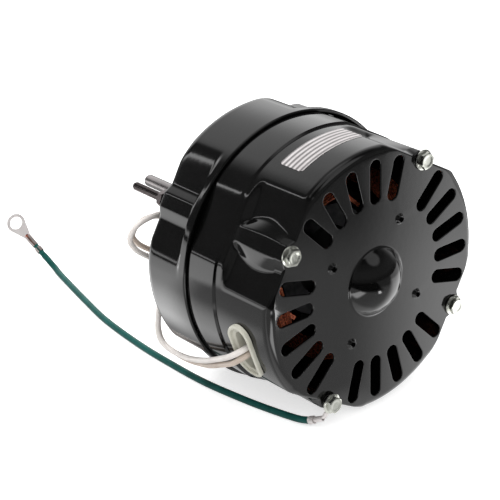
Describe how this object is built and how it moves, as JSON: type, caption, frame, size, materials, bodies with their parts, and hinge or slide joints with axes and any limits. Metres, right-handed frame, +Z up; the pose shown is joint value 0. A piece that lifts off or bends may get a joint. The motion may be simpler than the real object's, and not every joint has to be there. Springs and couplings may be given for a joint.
{
  "type": "combustion fan motor",
  "caption": "Round combustion fan motor: fluted black steel shells with a vented face, long shaft on sleeve bearings, mounting studs, lead pair and a green ground wire.",
  "frame": {"origin": "where the shaft's axis meets the rear mounting face, at the centre of the stud circle", "axes": "+Y along the shaft, away from the vented face; +Z up as the motor lies in the picture; X to the right as seen from the vented face"},
  "size_m": [0.1335, 0.2725, 0.133],
  "materials": {
    "enamel": "gloss black baked enamel over drawn steel",
    "lamination": "stacked electrical steel sheet",
    "copper": "varnished copper magnet wire and bare copper straps",
    "alloy": "die cast",
    "steel": "ground and bright",
    "bronze": "oil-filled sintered bronze",
    "felt": "oiled felt",
    "zinc": "bright zinc plate",
    "tin": "tin plate over brass",
    "nylon": "moulded cream nylon",
    "white_wire": "extruded insulation",
    "tan_wire": "extruded insulation",
    "green_wire": "extruded insulation"
  },
  "bodies": {
    "frame": {"front_shell": "enamel", "rear_shell": "enamel", "stator_core": "lamination", "winding_1": "copper", "winding_2": "copper", "winding_3": "copper", "winding_4": "copper", "shading_ring_1": "copper", "shading_ring_2": "copper", "shading_ring_3": "copper", "shading_ring_4": "copper", "front_bearing": "bronze", "front_bearing_cup": "steel", "front_oil_wick": "felt", "rear_bearing": "bronze", "rear_bearing_cup": "steel", "rear_oil_wick": "felt", "through_bolt_1": "zinc", "through_bolt_2": "zinc", "through_bolt_3": "zinc", "through_bolt_4": "zinc", "stud_nut_1": "zinc", "stud_nut_2": "zinc", "stud_nut_3": "zinc", "stud_nut_4": "zinc", "lead_grommet": "nylon", "lead_white": "white_wire", "lead_tan": "tan_wire", "ground_lug": "tin", "ground_wire": "green_wire", "ground_ring": "tin"},
    "rotor": {"shaft": "steel", "rotor_core": "lamination", "rotor_end_ring_front": "alloy", "rotor_end_ring_rear": "alloy", "front_thrust_washer": "steel", "rear_thrust_washer": "steel"}
  },
  "joints": [
    {"name": "rotor_spin", "type": "hinge", "parent": "frame", "child": "rotor", "pos_m": [0, 0, 0], "axis": [0, 1, 0], "continuous": true}
  ]
}
